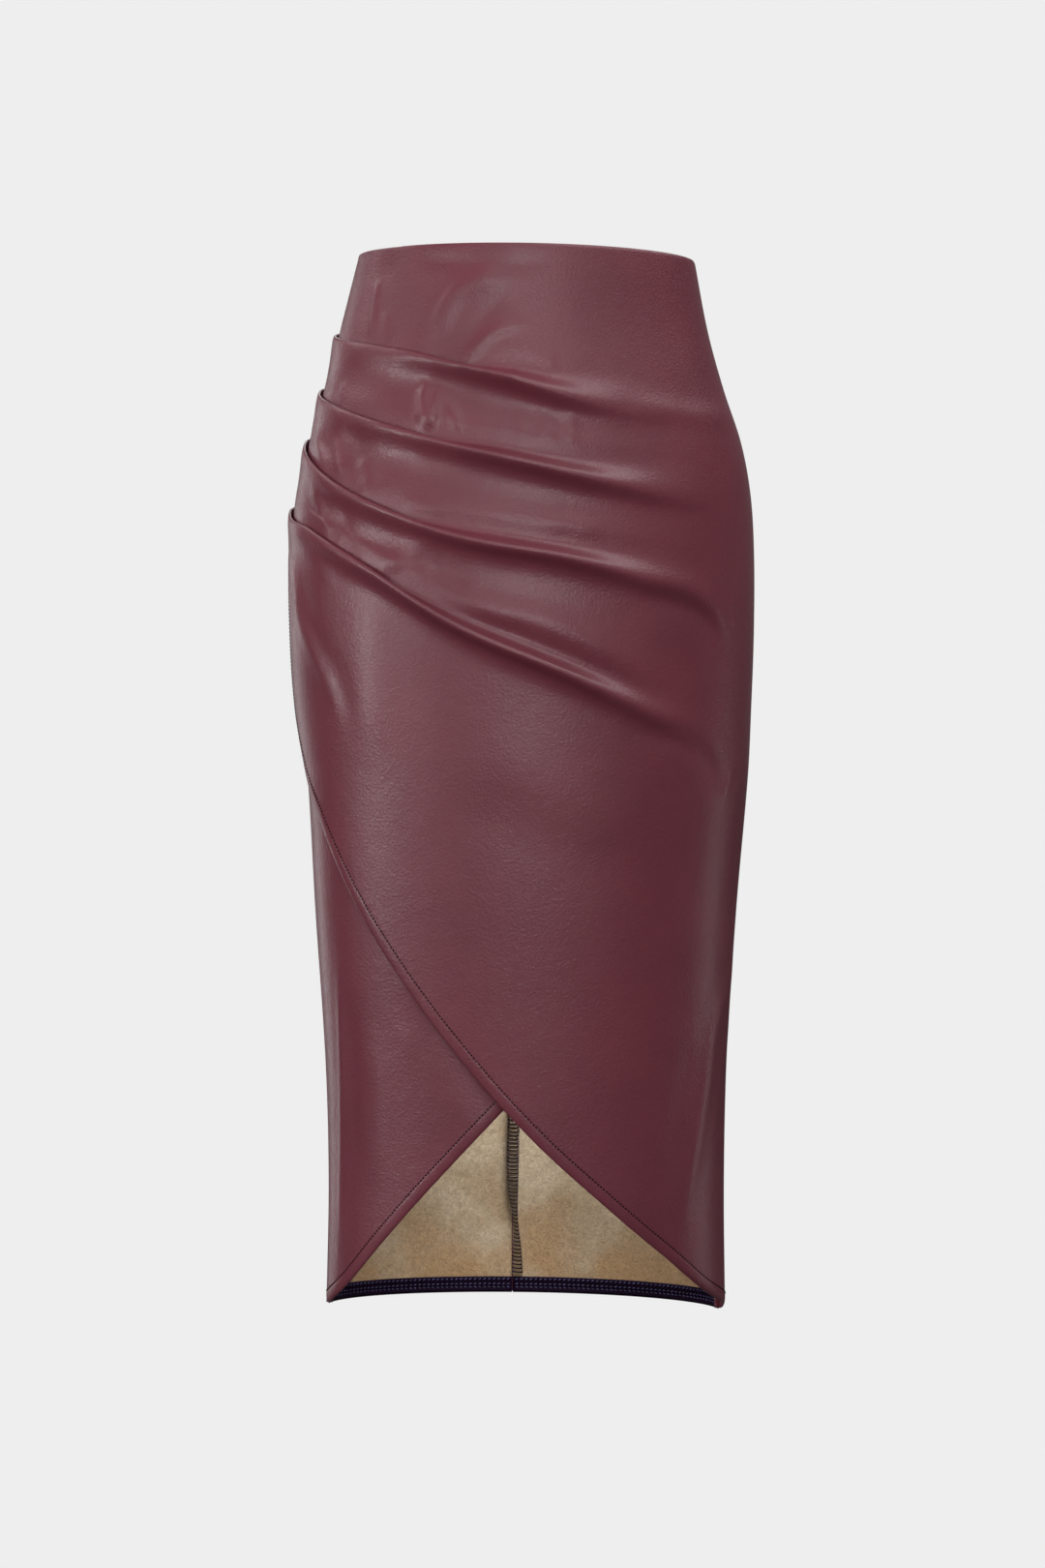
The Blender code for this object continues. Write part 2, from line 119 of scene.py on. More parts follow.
# The way round the figure is measured on a level oval, about as wide and as deep as its thighs.
OVAL = np.array((150, 103)) * MM
TURNS = np.linspace(-20, 380, 801)
GIRTH = np.concatenate([[0], np.cumsum(np.linalg.norm(np.diff(
    OVAL * np.stack([np.cos(np.radians(TURNS)), np.sin(np.radians(TURNS))], -1), axis=0
), axis=-1))])
# Short steps in each stretch of a crease, and the share of it that fades at either end.
CREASE_STEPS, CREASE_END = 6, 0.3


def way_round(around):
    """How far round the figure a place lies, in metres."""
    return np.interp(around, TURNS, GIRTH)


def seam_distance(around, *seams):
    """How far each place lies from the nearest of these seams."""
    return np.min([np.abs(way_round(around) - way_round(seam)) for seam in seams], axis=0)


def crease_relief(around, drop, creases):
    """How far soft ridges and troughs lift the cloth. Each crease is its height, its widths above
    and below it, and the places along it, all in millimetres and degrees. It fades at both ends."""
    here = np.stack([way_round(around), drop], -1)
    lift = np.zeros(np.shape(drop))
    for height, above, below, path in creases:
        places, stations = np.array(path, float), np.linspace(0, 1, len(path))
        steps = np.linspace(0, 1, CREASE_STEPS * (len(path) - 1) + 1)
        line = np.stack([
            way_round(smooth_curve(stations, places[:, 0], steps)),
            smooth_curve(stations, places[:, 1] * MM, steps),
        ], -1)
        nearest = np.full(np.shape(drop), np.inf)
        along, side = np.zeros(np.shape(drop)), np.zeros(np.shape(drop))
        for k, (start, end) in enumerate(zip(line, line[1:])):
            run = end - start
            share = np.clip((here - start) @ run / (run @ run), 0, 1)
            gap = here - start - share[..., None] * run
            distance = np.linalg.norm(gap, axis=-1)
            closer = distance < nearest
            nearest = np.where(closer, distance, nearest)
            along = np.where(closer, (k + share) / (len(line) - 1), along)
            side = np.where(closer, run[0] * gap[..., 1] - run[1] * gap[..., 0], side)
        width = np.where(side > 0, below, above) * MM
        taper = ease(0, CREASE_END, along) * (1 - ease(1 - CREASE_END, 1, along))
        lift += height * MM * taper * np.exp(-((nearest / width) ** 2))
    return lift


def bring_in(made):
    """Puts a new object in the scene, as the one that the next operator works on."""
    bpy.context.scene.collection.objects.link(made)
    bpy.ops.object.select_all(action="DESELECT")
    made.select_set(True)
    bpy.context.view_layer.objects.active = made


def cloth_sheet(name, points, thickness, outside, inside):
    """A wall of cloth on a grid of points, its columns listed left to right and each from top to
    bottom, as seen from outside."""
    columns, rows = points.shape[:2]
    mesh = bpy.data.meshes.new(name)
    corner = np.arange(columns * rows).reshape(columns, rows)
    quads = np.stack([corner[:-1, :-1], corner[:-1, 1:], corner[1:, 1:], corner[1:, :-1]], -1)
    mesh.from_pydata(points.reshape(-1, 3).tolist(), [], quads.reshape(-1, 4).tolist())
    mesh.shade_smooth()
    mesh.materials.append(outside)
    mesh.materials.append(inside)
    piece = bpy.data.objects.new(name, mesh)
    bring_in(piece)
    wall = piece.modifiers.new("wall", "SOLIDIFY")
    wall.thickness, wall.offset = thickness, 0
    wall.use_quality_normals = True
    wall.material_offset = 1
    bpy.ops.object.modifier_apply(modifier="wall")
    return piece


def add_node(tree, kind, inputs=None, **settings):
    """A shader node with its settings, and its inputs linked or filled in."""
    made = tree.nodes.new(kind)
    for name, value in settings.items():
        setattr(made, name, value)
    for key, value in (inputs or {}).items():
        if isinstance(value, bpy.types.NodeSocket):
            tree.links.new(value, made.inputs[key])
        else:
            made.inputs[key].default_value = value
    return made


def new_finish(name):
    """A material with its node tree and its Principled shader."""
    material = bpy.data.materials.new(name)
    material.use_nodes = True
    return material, material.node_tree, material.node_tree.nodes["Principled BSDF"]


def new_effect(name, inputs, outputs):
    """A shader node group with named number inputs, and its two ends."""
    group = bpy.data.node_groups.new(name, "ShaderNodeTree")
    for title, value in inputs:
        socket = group.interface.new_socket(title, in_out="INPUT", socket_type="NodeSocketFloat")
        socket.default_value = value
    for title in outputs:
        group.interface.new_socket(title, in_out="OUTPUT", socket_type="NodeSocketFloat")
    return group, group.nodes.new("NodeGroupInput"), group.nodes.new("NodeGroupOutput")


# Pebbled grain of the coating: small soft cells with a finer crackle over a wider pucker, a slow
# cloudiness for its tone and flecks for its gloss.
grain, grain_in, grain_out = new_effect(
    "pebbled_grain", (("Cells per metre", 620.0), ("Cloud per metre", 16.0)),
    ("Height", "Cloud", "Fleck"),
)
spot = add_node(grain, "ShaderNodeTexCoord").outputs["Object"]
wander = add_node(grain, "ShaderNodeTexNoise", {"Vector": spot, "Scale": 260.0, "Detail": 2.0})
bent = add_node(
    grain, "ShaderNodeMix", {0: 0.0016, 4: spot, 5: wander.outputs["Color"]},
    data_type="VECTOR", factor_mode="UNIFORM",
)
cells = add_node(
    grain, "ShaderNodeTexVoronoi",
    {"Vector": bent.outputs[1], "Scale": grain_in.outputs["Cells per metre"]},
    feature="SMOOTH_F1",
)
crackle = add_node(
    grain, "ShaderNodeTexNoise", {"Vector": spot, "Scale": 900.0, "Detail": 3.0, "Roughness": 0.6}
)
pebble = add_node(
    grain, "ShaderNodeMath", {0: cells.outputs["Distance"], 1: crackle.outputs["Fac"]},
    operation="SUBTRACT",
)
pucker = add_node(grain, "ShaderNodeTexNoise", {"Vector": spot, "Scale": 95.0, "Detail": 2.0})
height = add_node(
    grain, "ShaderNodeMath", {0: pucker.outputs["Fac"], 1: 1.5, 2: pebble.outputs[0]},
    operation="MULTIPLY_ADD",
)
cloud = add_node(
    grain, "ShaderNodeTexNoise",
    {"Vector": spot, "Scale": grain_in.outputs["Cloud per metre"], "Detail": 4.0},
)
fleck = add_node(grain, "ShaderNodeTexNoise", {"Vector": spot, "Scale": 330.0, "Detail": 3.0})
grain.links.new(height.outputs[0], grain_out.inputs["Height"])
grain.links.new(cloud.outputs["Fac"], grain_out.inputs["Cloud"])
grain.links.new(fleck.outputs["Fac"], grain_out.inputs["Fleck"])

coating, tree, shader = new_finish("burgundy_coating")
grained = add_node(tree, "ShaderNodeGroup", node_tree=grain)
tone = add_node(tree, "ShaderNodeValToRGB", {"Fac": grained.outputs["Cloud"]})
tone.color_ramp.elements[0].position = 0.3
tone.color_ramp.elements[0].color = (0.112, 0.0206, 0.0326, 1)
tone.color_ramp.elements[1].position = 0.7
tone.color_ramp.elements[1].color = (0.133, 0.0254, 0.0390, 1)
gloss = add_node(
    tree, "ShaderNodeMapRange",
    {"Value": grained.outputs["Fleck"], "From Min": 0.3, "From Max": 0.7, "To Min": 0.38, "To Max": 0.47},
)
relief = add_node(
    tree, "ShaderNodeBump",
    {"Strength": 0.35, "Distance": 0.0004, "Height": grained.outputs["Height"]},
)
tree.links.new(tone.outputs["Color"], shader.inputs["Base Color"])
tree.links.new(gloss.outputs["Result"], shader.inputs["Roughness"])
tree.links.new(relief.outputs["Normal"], shader.inputs["Normal"])
tree.links.new(relief.outputs["Normal"], shader.inputs["Coat Normal"])
shader.inputs["Specular IOR Level"].default_value = 0.38
shader.inputs["Coat Weight"].default_value = 0.13
shader.inputs["Coat Roughness"].default_value = 0.22

# The brushed underside: tan, clouded by how the nap lies, with short fibres.
suede, tree, shader = new_finish("brushed_tan")
spot = add_node(tree, "ShaderNodeTexCoord").outputs["Object"]
lay = add_node(
    tree, "ShaderNodeTexNoise", {"Vector": spot, "Scale": 26.0, "Detail": 3.0, "Distortion": 0.6}
)
fibre = add_node(
    tree, "ShaderNodeTexNoise",
    {"Vector": spot, "Scale": 340.0, "Detail": 5.0, "Roughness": 0.75, "Distortion": 1.2},
)
lain = add_node(tree, "ShaderNodeValToRGB", {"Fac": lay.outputs["Fac"]})
lain.color_ramp.elements[0].position = 0.34
lain.color_ramp.elements[0].color = (0.300, 0.212, 0.124, 1)
lain.color_ramp.elements[1].position = 0.62
lain.color_ramp.elements[1].color = (0.415, 0.330, 0.228, 1)
# Towards the hem the nap turns warmer and darker in patches.
low = add_node(
    tree, "ShaderNodeMapRange",
    {"Value": add_node(tree, "ShaderNodeSeparateXYZ", {0: spot}).outputs["Z"],
     "From Min": -0.655, "From Max": -0.705},
)
patch_noise = add_node(tree, "ShaderNodeTexNoise", {"Vector": spot, "Scale": 19.0, "Detail": 3.0})
hem_patches = add_node(
    tree, "ShaderNodeMapRange",
    {"Value": patch_noise.outputs["Fac"], "From Min": 0.42, "From Max": 0.6, "To Max": low.outputs["Result"]},
)
warmed = add_node(
    tree, "ShaderNodeMix",
    {0: hem_patches.outputs["Result"], 6: lain.outputs["Color"], 7: (0.335, 0.212, 0.108, 1)},
    data_type="RGBA",
)
nap = add_node(
    tree, "ShaderNodeMapRange",
    {"Value": fibre.outputs["Fac"], "From Min": 0.3, "From Max": 0.7, "To Min": 0.62, "To Max": 1.36},
)
napped = add_node(
    tree, "ShaderNodeMix", {0: 1.0, 6: warmed.outputs[2], 7: nap.outputs["Result"]},
    data_type="RGBA", blend_type="MULTIPLY",
)
relief = add_node(
    tree, "ShaderNodeBump", {"Strength": 0.5, "Distance": 0.0006, "Height": fibre.outputs["Fac"]}
)
tree.links.new(napped.outputs[2], shader.inputs["Base Color"])
tree.links.new(relief.outputs["Normal"], shader.inputs["Normal"])
shader.inputs["Roughness"].default_value = 0.95
shader.inputs["Specular IOR Level"].default_value = 0.15
shader.inputs["Sheen Weight"].default_value = 0.25
shader.inputs["Sheen Roughness"].default_value = 0.5

# Soft drag lines below the waist, over the seat and behind the knees.
BACK_CREASES = (
    (-0.9, 7, 9, ((200, 58), (222, 66), (246, 70), (268, 66))),
    (0.8, 6, 8, ((208, 78), (228, 88), (252, 92))),
    (-0.7, 6, 7, ((286, 62), (306, 70), (330, 66), (348, 58))),
    (0.6, 5, 8, ((292, 84), (314, 92), (338, 88))),
    (1.1, 9, 12, ((196, 262), (216, 282), (240, 296), (262, 300))),
    (-1.0, 8, 10, ((200, 286), (222, 306), (246, 318))),
    (1.0, 9, 13, ((288, 302), (310, 296), (334, 280), (352, 262))),
    (-0.8, 8, 9, ((300, 320), (322, 312), (344, 294))),
    (0.8, 9, 11, ((204, 330), (228, 348), (250, 352))),
    (0.6, 10, 9, ((296, 350), (318, 344), (338, 328))),
    (-0.6, 12, 12, ((214, 470), (236, 500), (244, 560), (240, 640))),
    (0.7, 12, 14, ((300, 440), (308, 520), (304, 600), (310, 680))),
    (0.5, 9, 9, ((226, 560), (232, 620), (228, 690))),
    (-0.5, 10, 10, ((330, 470), (334, 560), (328, 640))),
)
SEAM_ROLL, WAIST_ROLL, ROLL_WIDTH = 0.98 * MM, 0.5 * MM, 2.2 * MM
# How far in the side seam's allowance reaches, in its two columns.
SEAM_TUCK = np.array((3.4, 1.7)) * MM
# The columns next to a seam, in degrees from it.
SEAM_COLUMNS = np.array((0, 0.35, 0.8, 1.4))
NEXT_COLUMN = 2.4


def rolled_in(depth, distance):
    """How far an edge turns in, at each distance from it."""
    return depth * np.clip(1 - distance / ROLL_WIDTH, 0, 1) ** 2


def back_span(side, side_gap, centre_gap):
    """Where a piece of the back starts and ends, clear of its two seams by these degrees."""
    if side == "left":
        return LEFT_SEAM + side_gap, CENTRE_BACK - centre_gap
    return CENTRE_BACK + centre_gap, 360 + RIGHT_SEAM - side_gap


for side in ("left", "right"):
    start, end = back_span(side, 0.1, 0.04)
    turns = np.concatenate([
        start + SEAM_COLUMNS, np.linspace(start + NEXT_COLUMN, end - NEXT_COLUMN, 56),
        end - SEAM_COLUMNS[::-1],
    ])
    # The allowance of the side seam turns straight in, against the front's.
    tuck = np.zeros(len(turns))
    if side == "left":
        turns, tuck = np.append([start, start], turns), np.append(SEAM_TUCK, tuck)
    else:
        turns, tuck = np.append(turns, [end, end]), np.append(tuck, SEAM_TUCK[::-1])
    falls = np.concatenate([(0, 0.35, 1.0, 2.2), np.linspace(4, 720, 118), (722.6, 724.1)]) * MM
    around, fall = np.meshgrid(turns, falls, indexing="ij")
    drop = level_drop(fall, around)
    to_seam = seam_distance(around, start, end)
    inset = BACK_IN + rolled_in(SEAM_ROLL, to_seam) + rolled_in(WAIST_ROLL, fall) + tuck[:, None]
    lift = crease_relief(around, drop, BACK_CREASES) * ease(0, 14 * MM, to_seam)
    points = cloth_point(around, drop, inset - lift)
    panel = cloth_sheet(f"back_panel_{side}", points, CLOTH, coating, suede)
    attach(panel, "skirt")
    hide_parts(f"back_{side}")

# Back hem --------------------------------------------------------------------------------------
# The hem allowance of each back panel, turned up inside and bound in near-black tape, with three
# rows of cover stitches along it.

BAND_IN = BACK_IN + 1.3 * MM
# The binding's rows from its top down: how far up from the hem's edge, and how far in it puffs.
BAND_ROWS = np.array((
    (10.4, 0.0), (10.2, 0.3), (9.7, 0.5), (8.6, 0.6), (7.0, 0.35), (5.4, 0.6), (3.9, 0.4),
    (3.0, 0.25), (2.5, 0.7), (1.0, 0.8), (0.3, 0.5), (-0.1, 0.1),
)) * MM
# Its rows of cover stitches: how far up from the hem's edge, their slant, and how far in they lie.
COVER_ROWS = np.array(((9.0, 0.9, 1.05), (5.6, 0.5, 1.05), (3.4, -0.4, 0.85))) * MM

binding, tree, shader = new_finish("navy_binding")
spot = add_node(tree, "ShaderNodeTexCoord").outputs["Object"]
weave = add_node(
    tree, "ShaderNodeTexNoise", {"Vector": spot, "Scale": 900.0, "Detail": 3.0, "Roughness": 0.6}
)
dye = add_node(tree, "ShaderNodeValToRGB", {"Fac": weave.outputs["Fac"]})
dye.color_ramp.elements[0].position = 0.35
dye.color_ramp.elements[0].color = (0.0030, 0.0006, 0.0045, 1)
dye.color_ramp.elements[1].position = 0.7
dye.color_ramp.elements[1].color = (0.0085, 0.0024, 0.0130, 1)
relief = add_node(
    tree, "ShaderNodeBump", {"Strength": 0.6, "Distance": 0.0005, "Height": weave.outputs["Fac"]}
)
tree.links.new(dye.outputs["Color"], shader.inputs["Base Color"])
tree.links.new(relief.outputs["Normal"], shader.inputs["Normal"])
shader.inputs["Roughness"].default_value = 0.6
shader.inputs["Specular IOR Level"].default_value = 0.05


def thread_finish(name, colour, roughness):
    """Twisted thread. A fine slanting ripple raises its plies, and also darkens the grooves between them and
    lightens their tops in its colour, as painted shade and highlight.
    """
    material, tree, shader = new_finish(name)
    spot = add_node(tree, "ShaderNodeTexCoord").outputs["Object"]
    ply = add_node(
        tree, "ShaderNodeTexWave", {"Vector": spot, "Scale": 420.0, "Distortion": 2.0},
        bands_direction="DIAGONAL",
    )
    # Painted shade and highlight: the colour is darker in the grooves between the plies and lighter on their
    # tops.
    ply_painted_shade = add_node(
        tree, "ShaderNodeMapRange", {"Value": ply.outputs["Fac"], "To Min": 0.7, "To Max": 1.2}
    )
    dyed = add_node(
        tree, "ShaderNodeMix", {0: 1.0, 6: (*colour, 1), 7: ply_painted_shade.outputs["Result"]},
        data_type="RGBA", blend_type="MULTIPLY",
    )
    relief = add_node(
        tree, "ShaderNodeBump", {"Strength": 0.3, "Distance": 0.0002, "Height": ply.outputs["Fac"]}
    )
    tree.links.new(dyed.outputs[2], shader.inputs["Base Color"])
    tree.links.new(relief.outputs["Normal"], shader.inputs["Normal"])
    shader.inputs["Roughness"].default_value = roughness
    shader.inputs["Specular IOR Level"].default_value = 0.15
    return material


THREAD_TIP = 0.45


def lay_threads(name, paths, thickness, material):
    """Threads along these paths, thin at both ends, made into one mesh."""
    line = bpy.data.curves.new(name, "CURVE")
    line.dimensions = "3D"
    line.bevel_depth, line.bevel_resolution, line.use_fill_caps = thickness / 2, 1, True
    for path in paths:
        spline = line.splines.new("POLY")
        spline.points.add(len(path) - 1)
        spline.points.foreach_set("co", np.column_stack([path, np.ones(len(path))]).ravel())
        swell = np.ones(len(path))
        swell[[0, -1]] = THREAD_TIP
        spline.points.foreach_set("radius", swell)
        spline.use_smooth = True
    bring_in(bpy.data.objects.new(name, line))
    bpy.ops.object.convert(target="MESH")
    run = bpy.context.object
    run.data.materials.append(material)
    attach(run, "skirt")
    return run


def stitch_paths(line, facing, pitch, length, stand, slant=0.0):
    """Even stitches along a line of points on the cloth. Each rises out of it, lies on it and
    dips back, and a slant sets its two ends to either side of the line."""
    reach = np.concatenate([[0], np.cumsum(np.linalg.norm(np.diff(line, axis=0), axis=-1))])
    shares = np.array((-0.5, -0.4, -0.15, 0.15, 0.4, 0.5))
    heights = np.array((-0.30, 0.02, 0.16, 0.16, 0.02, -0.30)) * MM + stand
    paths = []
    for middle in np.arange(pitch / 2, reach[-1] - pitch / 2, pitch):
        at = middle + shares * length
        here, out, ahead = (
            np.stack([np.interp(s, reach, values[:, c]) for c in range(3)], -1)
            for s, values in ((at, line), (at, facing), (at + 0.1 * MM, line))
        )
        out = unit(out)
        aside = unit(np.cross(out, ahead - here))
        paths.append(here + out * heights[:, None] + aside * (shares * slant)[:, None])
    return paths


navy_thread = thread_finish("navy_thread", (0.005, 0.003, 0.009), 0.7)
# The cover stitch thread is a light blue-grey: its lightness is painted sheen, the glints on a near-black
# navy thread.
cover_thread_painted_sheen = thread_finish("cover_thread_painted_sheen", (0.060, 0.055, 0.130), 0.5)

for side in ("left", "right"):
    start, end = back_span(side, 0.5, 0.12)
    around, up = np.meshgrid(np.linspace(start, end, 64), BAND_ROWS[:, 0], indexing="ij")
    drop = level_drop(SKIRT_LENGTH - up, around)
    points = cloth_point(around, drop, BAND_IN + BAND_ROWS[:, 1])
    band = cloth_sheet(f"hem_binding_{side}", points, 0.9 * MM, binding, binding)
    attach(band, "skirt")
    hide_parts(f"back_{side}_hem")
    rows = []
    fine = np.linspace(start + 0.4, end - 0.4, 240)
    for rise, slant, further_in in COVER_ROWS:
        level = level_drop(SKIRT_LENGTH - rise, fine)
        line = cloth_point(fine, level, BAND_IN + further_in)
        rows += stitch_paths(
            line, -outward(fine, level), pitch=3.4 * MM, length=1.5 * MM, stand=0.05 * MM, slant=slant
        )
    run = lay_threads(f"hem_stitches_{side}", rows, 0.72 * MM, cover_thread_painted_sheen)

# Centre back seam allowance --------------------------------------------------------------------
# What is left of the cloth inside the centre back seam, pressed to one side and overlocked in
# near-black thread. It stands off the panel, and it twists on edge above the hem.

# Down the allowance: the drop, the near edge and its lift, and the free edge and its lift, all in
# millimetres and each edge measured from the seam.
ALLOWANCE = np.array((
    (187.5, 0.6, 0.9, 7.4, 0.9), (300, 0.4, 0.9, 7.3, 1.2), (420, 0.2, 1.2, 7.2, 1.3),
    (520, -0.6, 2.2, 6.6, 1.8), (566, -1.6, 3.2, 5.4, 2.2), (596, -2.6, 3.8, 4.6, 2.4),
    (620, -3.4, 4.0, 4.3, 2.6), (640, -3.3, 3.8, 3.8, 2.8), (656, -2.0, 3.0, 3.4, 3.2),
    (668, 0.2, 1.6, 3.4, 3.4), (680, 1.6, 1.1, 4.4, 3.2), (694, 1.1, 0.9, 6.1, 2.2),
    (713.4, 0.5, 0.9, 7.4, 1.0),
))
BACK_RADIUS = 148 * MM
OVERLOCK_PITCH = 2.7


def beside_centre(drop, across, lift):
    """Points inside the back, by how far they lie towards the left of the centre seam and how far
    they stand off the panel's inner face."""
    turn = CENTRE_BACK - np.degrees(across / BACK_RADIUS)
    return cloth_point(turn, drop, BACK_IN + CLOTH / 2 + lift)


def on_allowance(drop, share, off=0.0):
    """Points on the allowance: drops in metres, and shares of the way from its near edge to its
    free edge. They may stand off its face."""
    near, near_lift, free, free_lift = (
        smooth_curve(ALLOWANCE[:, 0] * MM, ALLOWANCE[:, c], drop) for c in range(1, 5)
    )
    crown = 0.5 * np.sin(np.pi * np.clip(share, 0, 1)) ** 0.7
    lift = mix(near_lift, free_lift, share) + crown
    return beside_centre(drop, mix(near, free, share) * MM, lift * MM + off)


fall, share = np.meshgrid(np.linspace(187.5, 713.4, 200) * MM, np.linspace(1, 0, 10))
points = on_allowance(fall, share)
allowance = cloth_sheet("centre_back_allowance", points, 1.0 * MM, coating, suede)
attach(allowance, "skirt")
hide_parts("back_seam_allowance")

# The overlock's rungs go round the allowance from edge to edge, and its loopers braid both edges.
rungs, braid = [], []
shares = np.array((-0.06, -0.05, 0.08, 0.3, 0.55, 0.8, 0.95, 1.06, 1.07))
stands = np.array((-0.6, 0.2, 0.75, 0.8, 0.8, 0.8, 0.75, 0.2, -0.6)) * MM
for drop in np.arange(189, 712, OVERLOCK_PITCH) * MM:
    rungs.append(on_allowance(drop + shares * 0.6 * MM, shares, stands))
for edge, lean in ((0.0, 0.16), (1.0, -0.16)):
    steps = np.linspace(-0.5, 0.5, 5)
    bow = 1.05 + 0.35 * np.cos(np.pi * steps)
    for drop in np.arange(188.6, 712, OVERLOCK_PITCH) * MM:
        braid.append(on_allowance(drop + steps * 1.7 * MM, edge + steps * lean * 2, bow * MM))
overlock = lay_threads("allowance_overlock", rungs, 0.95 * MM, navy_thread)
looper = thread_finish("looper_thread", (0.020, 0.012, 0.026), 0.4)
loops = lay_threads("allowance_looper", braid, 0.7 * MM, looper)

# Concealed zip ---------------------------------------------------------------------------------
# Two woven tapes inside the top of the centre back seam, a nylon coil between them, and an
# enamelled slider outside with its swinging teardrop pull.

tape_weave, tree, shader = new_finish("zip_tape_weave")
spot = add_node(tree, "ShaderNodeTexCoord").outputs["Object"]
warp = add_node(
    tree, "ShaderNodeTexWave", {"Vector": spot, "Scale": 380.0, "Distortion": 0.4}, bands_direction="X"
)
weft = add_node(
    tree, "ShaderNodeTexWave", {"Vector": spot, "Scale": 300.0, "Distortion": 0.4}, bands_direction="Z"
)
over = add_node(
    tree, "ShaderNodeMath", {0: warp.outputs["Fac"], 1: weft.outputs["Fac"]}, operation="MULTIPLY"
)
# The yarn's burgundy, with painted shade: darker where the weave sinks and lighter where it rises.
yarn_with_painted_shade = add_node(tree, "ShaderNodeValToRGB", {"Fac": over.outputs[0]})
yarn_with_painted_shade.color_ramp.elements[0].color = (0.045, 0.009, 0.014, 1)
yarn_with_painted_shade.color_ramp.elements[1].color = (0.110, 0.026, 0.038, 1)
relief = add_node(
    tree, "ShaderNodeBump", {"Strength": 0.5, "Distance": 0.0004, "Height": over.outputs[0]}
)
tree.links.new(yarn_with_painted_shade.outputs["Color"], shader.inputs["Base Color"])
tree.links.new(relief.outputs["Normal"], shader.inputs["Normal"])
shader.inputs["Roughness"].default_value = 0.75
shader.inputs["Sheen Weight"].default_value = 0.2

enamel, tree, shader = new_finish("zip_enamel")
spot = add_node(tree, "ShaderNodeTexCoord").outputs["Object"]
orange_peel = add_node(tree, "ShaderNodeTexNoise", {"Vector": spot, "Scale": 1400.0, "Detail": 2.0})
patch_noise = add_node(tree, "ShaderNodeTexNoise", {"Vector": spot, "Scale": 240.0, "Detail": 5.0})
coat = add_node(tree, "ShaderNodeValToRGB", {"Fac": patch_noise.outputs["Fac"]})
coat.color_ramp.elements[0].position = 0.3
coat.color_ramp.elements[0].color = (0.115, 0.020, 0.032, 1)
coat.color_ramp.elements[1].position = 0.75
coat.color_ramp.elements[1].color = (0.190, 0.050, 0.062, 1)
relief = add_node(
    tree, "ShaderNodeBump", {"Strength": 0.15, "Distance": 0.0002, "Height": orange_peel.outputs["Fac"]}
)
tree.links.new(coat.outputs["Color"], shader.inputs["Base Color"])
tree.links.new(relief.outputs["Normal"], shader.inputs["Normal"])
shader.inputs["Metallic"].default_value = 0.35
shader.inputs["Roughness"].default_value = 0.3
shader.inputs["Coat Weight"].default_value = 0.5
shader.inputs["Coat Roughness"].default_value = 0.15

for node, finish in (
    ("zip_tape_left", tape_weave), ("zip_tape_right", tape_weave),
    ("zip_slider", enamel), ("zip_pull", enamel),
):
    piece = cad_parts[node]
    piece.data.materials.clear()
    piece.data.materials.append(finish)

nylon = thread_finish("zip_coil_nylon", (0.080, 0.018, 0.027), 0.35)
COIL_TURNS, COIL_TOP, COIL_STEP, COIL_HALF_WIDTH = 108, 14 * MM, 0.8 * MM, 1.7 * MM
WAIST_RADIUS = 130 * MM
bends = np.arange(2 * COIL_TURNS)
aside = np.degrees(np.where(bends % 2, COIL_HALF_WIDTH, -COIL_HALF_WIDTH) / WAIST_RADIUS)
coil = cloth_point(CENTRE_BACK + aside, COIL_TOP + bends * COIL_STEP, BACK_IN + 2.5 * MM)
coil_run = lay_threads("zip_coil", [coil], 0.75 * MM, nylon)

# Underlap --------------------------------------------------------------------------------------
# The plain under layer of the front. Its hem sweeps from the right hem corner up across the front
# to the left side seam, turned in 8 mm and topstitched.

UNDERLAP_IN = 3.1 * MM
UNDERLAP_HEM = np.array((
    (-6, 722), (10, 718), (28, 702), (45, 671), (65, 626), (83, 582), (97, 548), (113, 505),
    (137, 440), (159, 378), (170, 350), (178, 322), (186, 270),
))
HEM_ZONE = 12 * MM
# The rows of a curved hem from the panel down: the distance from the edge, and how far the cloth
# lies in from the panel. It dips at the stitching, puffs, rolls round the edge and turns up.
HEM_ROWS = np.array((
    (10.8, 0), (9.7, 0), (9.0, 0), (8.5, 0.02), (8.15, 0.06), (7.8, 0.02), (7.4, -0.06),
    (6.8, -0.14), (5.8, -0.18), (4.4, -0.12), (3.0, 0.04), (2.0, 0.2), (1.3, 0.42),
    (0.84, 0.62), (0.58, 0.82), (0.5, 1.02), (0.56, 1.22), (0.8, 1.4), (1.2, 1.48), (3.0, 1.45),
    (5.5, 1.4), (7.8, 1.4),
)) * MM
STITCH_ROW = 4
# How strongly a front's columns close up towards its right, and the half step, in degrees, over
# which the hem's run is read.
FAN_SHIFT, HEM_STEP = 0.035, 0.2


